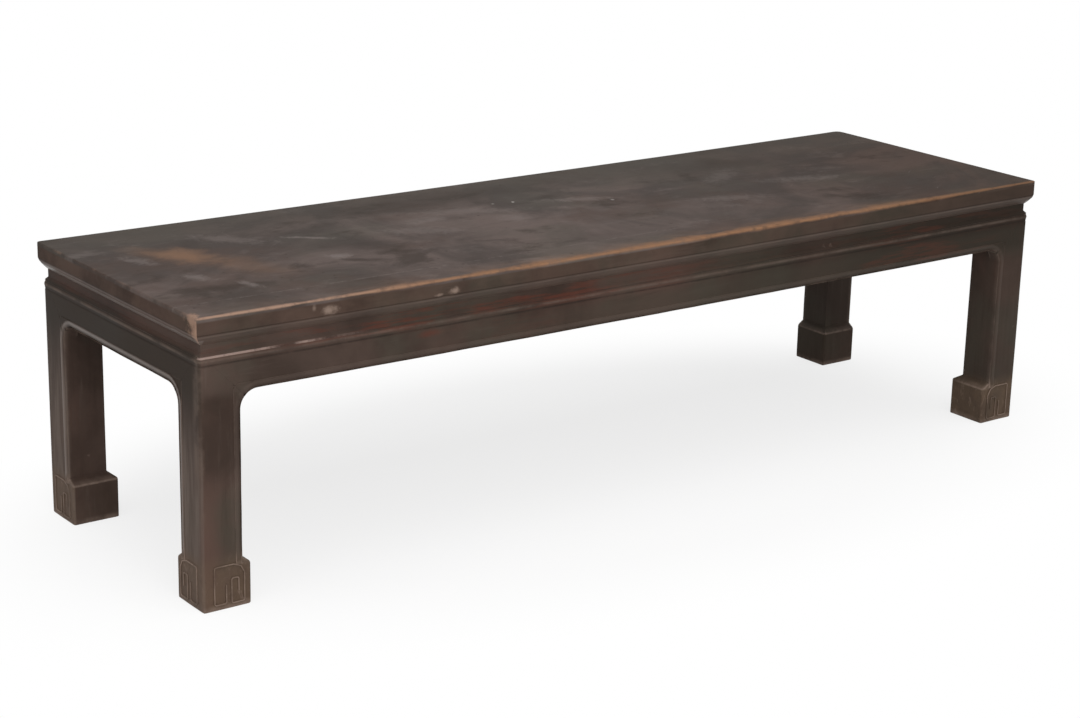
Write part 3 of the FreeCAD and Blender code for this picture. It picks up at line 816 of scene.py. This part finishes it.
def beadCornerFaces(mesh):
    groups = {}
    for face in mesh.faces:
        middle = face.calc_center_median()
        fromEnd, fromSide = alongFaces(middle)
        if middle.z > bead["turnsAbove"] and min(fromEnd, fromSide) < -bead["proud"]:
            beside, above, radius = beadCorner(middle)
            if min(beside, above) > -bead["turnMargin"]:
                key = (fromEnd < fromSide, middle.x > 0, middle.y > 0)
                groups.setdefault(key, (radius, []))[1].append(face)
    return groups


def cutPlane(mesh, geometry, place, normal):
    bmesh.ops.bisect_plane(mesh, geom=geometry, dist=wear["snap"], plane_co=place, plane_no=normal)


def cutBeadCorners(mesh):
    for turn in bead["turnCuts"]:
        lean = math.radians(turn)
        for gap in (0.0, bead["wall"]):
            for (onEnd, right, back), (radius, faces) in beadCornerFaces(mesh).items():
                sideways = Vector((0, 1 if back else -1, 0)) if onEnd else Vector((1 if right else -1, 0, 0))
                half = openHalf[1] if onEnd else openHalf[0]
                inset = bead["width"] - radius
                centre = sideways * (half + inset) + Vector((0, 0, apronBottom + inset))
                normal = sideways * math.cos(lean) + Vector((0, 0, math.sin(lean)))
                edges = {edge for face in faces for edge in face.edges}
                corners = {vertex for face in faces for vertex in face.verts}
                geometry = list(corners) + list(edges) + faces
                cutPlane(mesh, geometry, centre + normal * (radius + gap), normal)


def cutAlong(mesh, axis, places):
    direction = Vector((axis == "x", axis == "y", axis == "z"))
    for place in places:
        cutPlane(mesh, mesh.verts[:] + mesh.edges[:] + mesh.faces[:], direction * place, direction)


def steps(low, high, size):
    count = max(1, round((high - low) / size))
    return [low + (high - low) * n / count for n in range(1, count)]


def roundCorner(point):
    side = ("front" if point.y < 0 else "back") + ("Left" if point.x < 0 else "Right")
    radius = cornerRound[side]
    away = Vector((radius - (halfLength - abs(point.x)), radius - (halfWidth - abs(point.y))))
    if min(away) > 0:
        turned = away * (max(away) / away.length)
        point.x = math.copysign(halfLength - radius + turned.x, point.x)
        point.y = math.copysign(halfWidth - radius + turned.y, point.y)


def ridge(gap, half):
    return math.cos(gap / half * math.pi / 2) ** 2 if abs(gap) < half else 0.0


def limited(share):
    return min(1.0, max(0.0, share))


def outward(point):
    reach = 7 * mm
    fromEnd, fromSide = alongFaces(point)
    lean = Vector((max(0.0, reach - fromEnd), max(0.0, reach - fromSide), 0.0)).normalized()
    return Vector((math.copysign(lean.x, point.x), math.copysign(lean.y, point.y), 0.0))


def carvedBead(point):
    share = 1 - fromOpening(point) / bead["width"]
    outside = limited(beyondBead(point) / bead["wall"])
    depth = bead["sunk"] + bead["fall"] * max(0.0, share) ** 2
    if 0 <= share < bead["outerShare"]:
        depth += bead["outer"] * (1 - share / bead["outerShare"]) ** 2
    if share < 0:
        depth += bead["drop"] * outside
    fromCrest = share - bead["crestShare"]
    crest = ridge(fromCrest if fromCrest < 0 else fromCrest / 2, bead["crestHalf"]) * (1 - outside)
    grime = limited((share - bead["grimeShare"]) / (1 - bead["grimeShare"])) * bead["grime"]
    return depth, crest, grime


def carved(point, isSlab):
    lines = mouldings["slab" if isSlab else "base"]
    height = sum(relief * ridge(point.z - middle, half) for middle, half, relief in lines)
    groove = min(1.0, sum(ridge(point.z - middle, half) for middle, half, relief in lines if relief < 0))
    crest = sum(ridge(point.z - middle, half) for middle, half, relief in lines if relief > 0)
    onBead = 0.0
    if not isSlab and min(alongFaces(point)) < -bead["proud"] and point.z > hoof["plainBelow"]:
        depth, onBead, grime = carvedBead(point)
        height -= depth
        groove = max(groove, grime)
    return height, groove, crest, onBead


def closeSeam(point):
    if point.z < tableHeight - seam["depth"]:
        return
    if same(halfWidth - abs(point.y), frameWidth):
        point.y -= math.copysign(seam["gap"], point.y)
    if same(halfLength - abs(point.x), frameWidth):
        point.x -= math.copysign(seam["gap"], point.x)


def rimShare(vertex, isSlab):
    rims = [face.material_index for face in vertex.link_faces]
    fromEnd, fromSide = alongFaces(vertex.co)
    fromMitres = [fromEnd - fromSide, fromEnd + vertex.co.z - mitreSum, fromSide + vertex.co.z - mitreSum]
    if not isSlab and min(map(abs, fromMitres)) < wear["joint"]:
        return 0.0
    return sum(rims) / max(1, len(rims))


def weather(mesh, isSlab):
    mesh.normal_update()
    worn, dirty, beaded = (mesh.verts.layers.float.new(name) for name in ("edgeWear", "groove", "bead"))
    moves = []
    for vertex in mesh.verts:
        if isSlab:
            closeSeam(vertex.co)
        place = vertex.co
        rim = rimShare(vertex, isSlab)
        height, groove, crest, onBead = carved(place, isSlab)
        vertex[worn] = max(rim, crest * wear["crest"])
        vertex[dirty] = groove
        vertex[beaded] = onBead
        wave = noise.noise_vector(place / wear["wobbleLength"]) * wear["wobble"]
        rub = 0.5 + 0.5 * noise.noise(place / wear["rubbedLength"])
        hang = sag * (1 - (place.x / halfLength) ** 2) * min(1.0, place.z / wear["hangFrom"])
        move = wave * min(1.0, place.z / wear["wobbleFrom"]) - vertex.normal * rim * rub * wear["rubbed"]
        move += outward(place) * height - Vector((0, 0, hang))
        for middle, radius, depth in dents:
            away = (place - Vector(middle)).length / radius
            if away < 1:
                move = move - vertex.normal * depth * (1 - away * away) ** 2
        moves.append(move)
    for vertex, move in zip(mesh.verts, moves):
        vertex.co += move
        if isSlab:
            roundCorner(vertex.co)
        for axis in range(3):
            vertex.co[axis] = max(cadBox[0][axis], min(cadBox[1][axis], vertex.co[axis]))


def wornPiece(node, softness, cuts, material, isSlab=False):
    rounded = softened(node, softness)
    mesh = bmesh.new()
    mesh.from_mesh(rounded)
    for axis, places in cuts.items():
        cutAlong(mesh, axis, places)
    if not isSlab:
        cutBeadCorners(mesh)
    weather(mesh, isSlab)
    for face in mesh.faces:
        face.smooth = True
        face.material_index = 0
    bmesh.ops.recalc_face_normals(mesh, faces=mesh.faces)
    mesh.normal_update()
    for edge in mesh.edges:
        edge.smooth = len(edge.link_faces) == 2 and edge.calc_face_angle() < wear["crease"]
    mesh.to_mesh(rounded)
    mesh.free()
    rounded.materials.clear()
    rounded.materials.append(material)
    name = node + "_worn"
    rounded.name = name
    piece = bpy.data.objects.new(name, rounded)
    bpy.context.scene.collection.objects.link(piece)
    shade = piece.modifiers.new("evenShade", "WEIGHTED_NORMAL")
    shade.keep_sharp = True
    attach(piece, "root")
    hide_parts(node)


cutSizes = {
    "slab": 6 * mm, "slabHeight": 4 * mm, "apron": 9 * mm, "leg": 9 * mm, "board": 22 * mm,
    "line": 0.7 * mm, "bend": 3 * mm,
}
cornerCuts = [0.7 * mm, 1.5 * mm, 2.3 * mm, 3.2 * mm, 4.5 * mm]
frameCuts = [4.5 * mm, 9 * mm, 15 * mm, 28 * mm, 43 * mm]
beadCuts = [1.2 * mm, 2.6 * mm, 4.2 * mm, 5.8 * mm, 7.4 * mm, 8.6 * mm, 9.4 * mm]


def bothEnds(half):
    return [sign * (half - cut) for cut in cornerCuts for sign in (-1, 1)]


def lineCuts(lines):
    low = min(middle - half for middle, half, relief in lines)
    high = max(middle + half for middle, half, relief in lines)
    return [low] + steps(low, high, cutSizes["line"]) + [high]


baseCuts = (
    steps(apronBottom, apronHigh.z, cutSizes["apron"]) + lineCuts(mouldings["base"])
    + [apronBottom + cut for cut in beadCuts]
)
for side in ("front", "right", "back", "left"):
    isLong = side in ("front", "back")
    lengthAxis, acrossAxis = ("x", "y") if isLong else ("y", "x")
    grain = "along" + lengthAxis.upper()
    half, far = (halfLength, halfWidth) if isLong else (halfWidth, halfLength)
    sign = -1 if side in ("front", "left") else 1
    cuts = {
        lengthAxis: steps(-half, half, cutSizes["slab"]) + bothEnds(half),
        acrossAxis: [sign * (far - depth) for depth in frameCuts],
        "z": steps(slabLow, tableHeight, cutSizes["slabHeight"]) + lineCuts(mouldings["slab"]),
    }
    wornPiece("top_frame_" + side, frameSoftness, cuts, materials["top"], isSlab=True)
    clear = openHalf[0 if isLong else 1]
    bends = steps(clear - openingRound, clear + bead["width"], cutSizes["bend"])
    cuts = {
        lengthAxis: steps(-half, half, cutSizes["apron"]) + bends + [-bend for bend in bends],
        "z": baseCuts,
    }
    wornPiece("apron_" + side, apronSoftness, cuts, materials[grain])
    cuts = {lengthAxis: steps(-half, half, cutSizes["board"])}
    wornPiece("waist_" + side, noSoftness, cuts, materials[grain])
print("frame, aprons and waist worn")

for corner in ("front_left", "front_right", "back_right", "back_left"):
    low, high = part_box("leg_" + corner)
    signs = [math.copysign(1, low.x), math.copysign(1, low.y)]
    inner = [[sign * (clear + cut) for cut in beadCuts] for sign, clear in zip(signs, openHalf)]
    cuts = {
        "z": steps(low.z, high.z, cutSizes["leg"]) + baseCuts,
        "x": steps(low.x, high.x, cutSizes["leg"]) + inner[0],
        "y": steps(low.y, high.y, cutSizes["leg"]) + inner[1],
    }
    wornPiece("leg_" + corner, legSoftness, cuts, materials["alongZ"])
print("legs worn")

for side in ("front", "back"):
    low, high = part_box("top_board_" + side)
    cuts = {"x": steps(low.x, high.x, cutSizes["board"]), "y": steps(low.y, high.y, cutSizes["board"])}
    wornPiece("top_board_" + side, noSoftness, cuts, materials["top"])
for number in range(1, 5):
    node = f"batten_{number}"
    low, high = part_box(node)
    cuts = {"y": steps(low.y, high.y, cutSizes["board"])}
    wornPiece(node, noSoftness, cuts, materials["battens"])
print("boards and battens worn")


# fret carved on both outer faces of each foot
fret = {
    "path": [  # mm in from the outer corner, mm up from the floor
        (31.5, 33), (31.5, 8), (15, 8), (15, 58), (42, 58), (52, 54), (57, 45), (57, 7), (39, 7), (39, 40),
        (49, 40), (49, 22),
    ],
    "turn": 2.6 * mm,
    "turnSteps": 4,
    "ribbon": 3.2 * mm,
    "height": 1.8 * mm,
    "sunk": 0.9 * mm,  # how much of the height lies in the foot
    "ease": 0.8 * mm,  # rounding of the ribbon's edges
    "easeSteps": 3,
    "proud": 0.9 * mm,  # what stands out further than this is rubbed
    "wear": 0.9,
    "crease": math.radians(40),
}


def fretTree(material):
    tree = bpy.data.node_groups.new("footFret", "GeometryNodeTree")
    kinds = {
        "Path": "Geometry", "Turn": "Float", "Ribbon": "Float", "Height": "Float", "Sunk": "Float",
        "Corner": "Vector",
    }
    sockets = {}
    for name, kind in kinds.items():
        made = tree.interface.new_socket(name, in_out="INPUT", socket_type="NodeSocket" + kind)
        sockets[name] = made.identifier
    tree.interface.new_socket("Fret", in_out="OUTPUT", socket_type="NodeSocketGeometry")

    def fill(socket, given):
        if isinstance(given, bpy.types.NodeSocket):
            tree.links.new(given, socket)
        else:
            socket.default_value = given

    def add(kind, settings=None, **inputs):
        made = tree.nodes.new(kind)
        for key, setting in (settings or {}).items():
            setattr(made, key, setting)
        for key, given in inputs.items():
            fill(next(s for s in made.inputs if s.enabled and s.name.replace(" ", "") == key), given)
        return made.outputs[0]

    def maths(operation, first, second):
        made = tree.nodes.new("ShaderNodeMath")
        made.operation = operation
        fill(made.inputs[0], first)
        fill(made.inputs[1], second)
        return made.outputs[0]

    def filleted(curve, radius, count):
        return add("GeometryNodeFilletCurve", {"mode": "POLY"}, Curve=curve, Radius=radius, Count=count)

    def mirrored(geometry, scale):
        turned = add("GeometryNodeTransform", Geometry=geometry, Scale=scale)
        return add("GeometryNodeFlipFaces", Mesh=turned)

    def joined(*parts):
        made = tree.nodes.new("GeometryNodeJoinGeometry")
        for part in parts:
            tree.links.new(part, made.inputs[0])
        return made.outputs[0]

    given = tree.nodes.new("NodeGroupInput").outputs
    rounded = filleted(given["Path"], given["Turn"], fret["turnSteps"])
    upright = add("GeometryNodeSetCurveNormal", {"mode": "Z_UP"}, Curve=rounded)
    block = add("GeometryNodeCurvePrimitiveQuadrilateral", Width=given["Height"], Height=given["Ribbon"])
    eased = filleted(block, fret["ease"], fret["easeSteps"])
    ribbon = add("GeometryNodeCurveToMesh", Curve=upright, ProfileCurve=eased, FillCaps=True)
    lift = maths("SUBTRACT", maths("MULTIPLY", given["Height"], 0.5), given["Sunk"])
    rise = add("ShaderNodeCombineXYZ", Z=lift)
    lifted = add("GeometryNodeTransform", Geometry=ribbon, Translation=rise)
    front = add("GeometryNodeTransform", Geometry=lifted, Rotation=(math.pi / 2, 0, 0))
    turned = add("GeometryNodeTransform", Geometry=front, Rotation=(0, 0, math.pi / 2))
    pair = joined(front, mirrored(turned, (-1, 1, 1)))
    foot = add("GeometryNodeTransform", Geometry=pair, Translation=given["Corner"])
    ends = joined(foot, mirrored(foot, (1, -1, 1)))
    feet = joined(ends, mirrored(ends, (-1, 1, 1)))
    whole = add("GeometryNodeRealizeInstances", Geometry=feet)
    painted = add("GeometryNodeSetMaterial", Geometry=whole, Material=material)
    tree.links.new(painted, tree.nodes.new("NodeGroupOutput").inputs[0])
    return tree, sockets


def makeFrets(material):
    curve = bpy.data.curves.new("fretPath", "CURVE")
    curve.dimensions = "3D"
    spline = curve.splines.new("POLY")
    spline.points.add(len(fret["path"]) - 1)
    for point, (inward, up) in zip(spline.points, fret["path"]):
        point.co = (inward * mm, up * mm, 0, 1)
    carrier = bpy.data.objects.new("fretPath", curve)
    bpy.context.scene.collection.objects.link(carrier)
    tree, sockets = fretTree(material)
    carve = carrier.modifiers.new("carve", "NODES")
    carve.node_group = tree
    for name in ("Turn", "Ribbon", "Height", "Sunk"):
        carve[sockets[name]] = fret[name.lower()]
    carve[sockets["Corner"]] = tuple(legFace)
    bpy.context.view_layer.update()
    made = bpy.data.meshes.new_from_object(carrier.evaluated_get(bpy.context.evaluated_depsgraph_get()))
    carrier.modifiers.remove(carve)
    bpy.data.objects.remove(carrier)
    mesh = bmesh.new()
    mesh.from_mesh(made)
    bmesh.ops.remove_doubles(mesh, verts=mesh.verts, dist=wear["merge"])
    bmesh.ops.recalc_face_normals(mesh, faces=mesh.faces)
    worn = mesh.verts.layers.float.new("edgeWear")
    for vertex in mesh.verts:
        vertex[worn] = fret["wear"] if min(alongFaces(vertex.co)) < -fret["proud"] else 0.0
    for face in mesh.faces:
        face.smooth = True
    mesh.to_mesh(made)
    mesh.free()
    made.set_sharp_from_angle(angle=fret["crease"])
    made.name = "foot_frets"
    piece = bpy.data.objects.new("foot_frets", made)
    bpy.context.scene.collection.objects.link(piece)
    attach(piece, "root")


makeFrets(materials["alongZ"])
print("frets carved")


# floor and light
studio = {
    "floorSize": 16.0,
    "floorColour": (0.97, 0.97, 0.97),
    "shownWhite": 0.75,  # share of plain white that the camera sees round the table
    "shadowShape": (1.0, 0.55, 1.0),
    "shadowReach": (0.62, 1.05),  # from here to there the floor turns all white
    "ambient": 0.31,
    "sun": 1.72,
    "sunSpread": 80,  # degrees
    "sunFrom": (-0.25, -0.75, 1.6),
    "boxPower": 15.0,
    "boxSize": 1.4,
    "boxPlace": (-1.1, -2.1, 1.3),
    "boxAim": (-0.4, 0.0, 0.2),
}


def seenRays(paint):
    light = paint.node("ShaderNodeLightPath").socket.node.outputs
    camera, glossy, through = (
        Value(paint, light[name]) for name in ("Is Camera Ray", "Is Glossy Ray", "Is Transmission Ray")
    )
    return camera.most(glossy).most(through)


def makeFloor():
    half = studio["floorSize"] / 2
    mesh = bpy.data.meshes.new("floor")
    corners = [(-half, -half, 0), (half, -half, 0), (half, half, 0), (-half, half, 0)]
    mesh.from_pydata(corners, [], [(0, 1, 2, 3)])
    material, paint = newMaterial("paperFloor")
    matte = paint.node("ShaderNodeBsdfDiffuse", inputs={"Color": studio["floorColour"]})
    white = paint.node("ShaderNodeEmission", inputs={"Color": (1, 1, 1), "Strength": 1.0})
    away = paint.length(paint.stretch(paint.place(), studio["shadowShape"]))
    seen = seenRays(paint) * away.ramp(*studio["shadowReach"], studio["shownWhite"], 1.0)
    surface = paint.node("ShaderNodeMixShader", inputs={0: seen, 1: matte, 2: white})
    paint.node("ShaderNodeOutputMaterial", inputs={"Surface": surface})
    mesh.materials.append(material)
    floor = bpy.data.objects.new("floor", mesh)
    bpy.context.scene.collection.objects.link(floor)


def hangLamp(lamp, place, aim):
    holder = bpy.data.objects.new(lamp.name, lamp)
    turn = (Vector(aim) - Vector(place)).to_track_quat("-Z", "Y").to_matrix().to_4x4()
    holder.matrix_world = Matrix.Translation(place) @ turn
    bpy.context.scene.collection.objects.link(holder)


def makeLight():
    world = bpy.data.worlds.new("studio")
    world.use_nodes = True
    bpy.context.scene.world = world
    paint = Paint(world.node_tree)
    strength = seenRays(paint) * (1 - studio["ambient"]) + studio["ambient"]
    sky = paint.node("ShaderNodeBackground", inputs={"Color": (1, 1, 1), "Strength": strength})
    paint.node("ShaderNodeOutputWorld", inputs={"Surface": sky})
    sun = bpy.data.lights.new("sun", "SUN")
    sun.energy = studio["sun"]
    sun.angle = math.radians(studio["sunSpread"])
    hangLamp(sun, studio["sunFrom"], (0, 0, 0))
    softbox = bpy.data.lights.new("softbox", "AREA")
    softbox.energy = studio["boxPower"]
    softbox.size = studio["boxSize"]
    hangLamp(softbox, studio["boxPlace"], studio["boxAim"])


makeFloor()
makeLight()
bpy.context.scene.view_settings.view_transform = "Standard"
print("floor and light set")
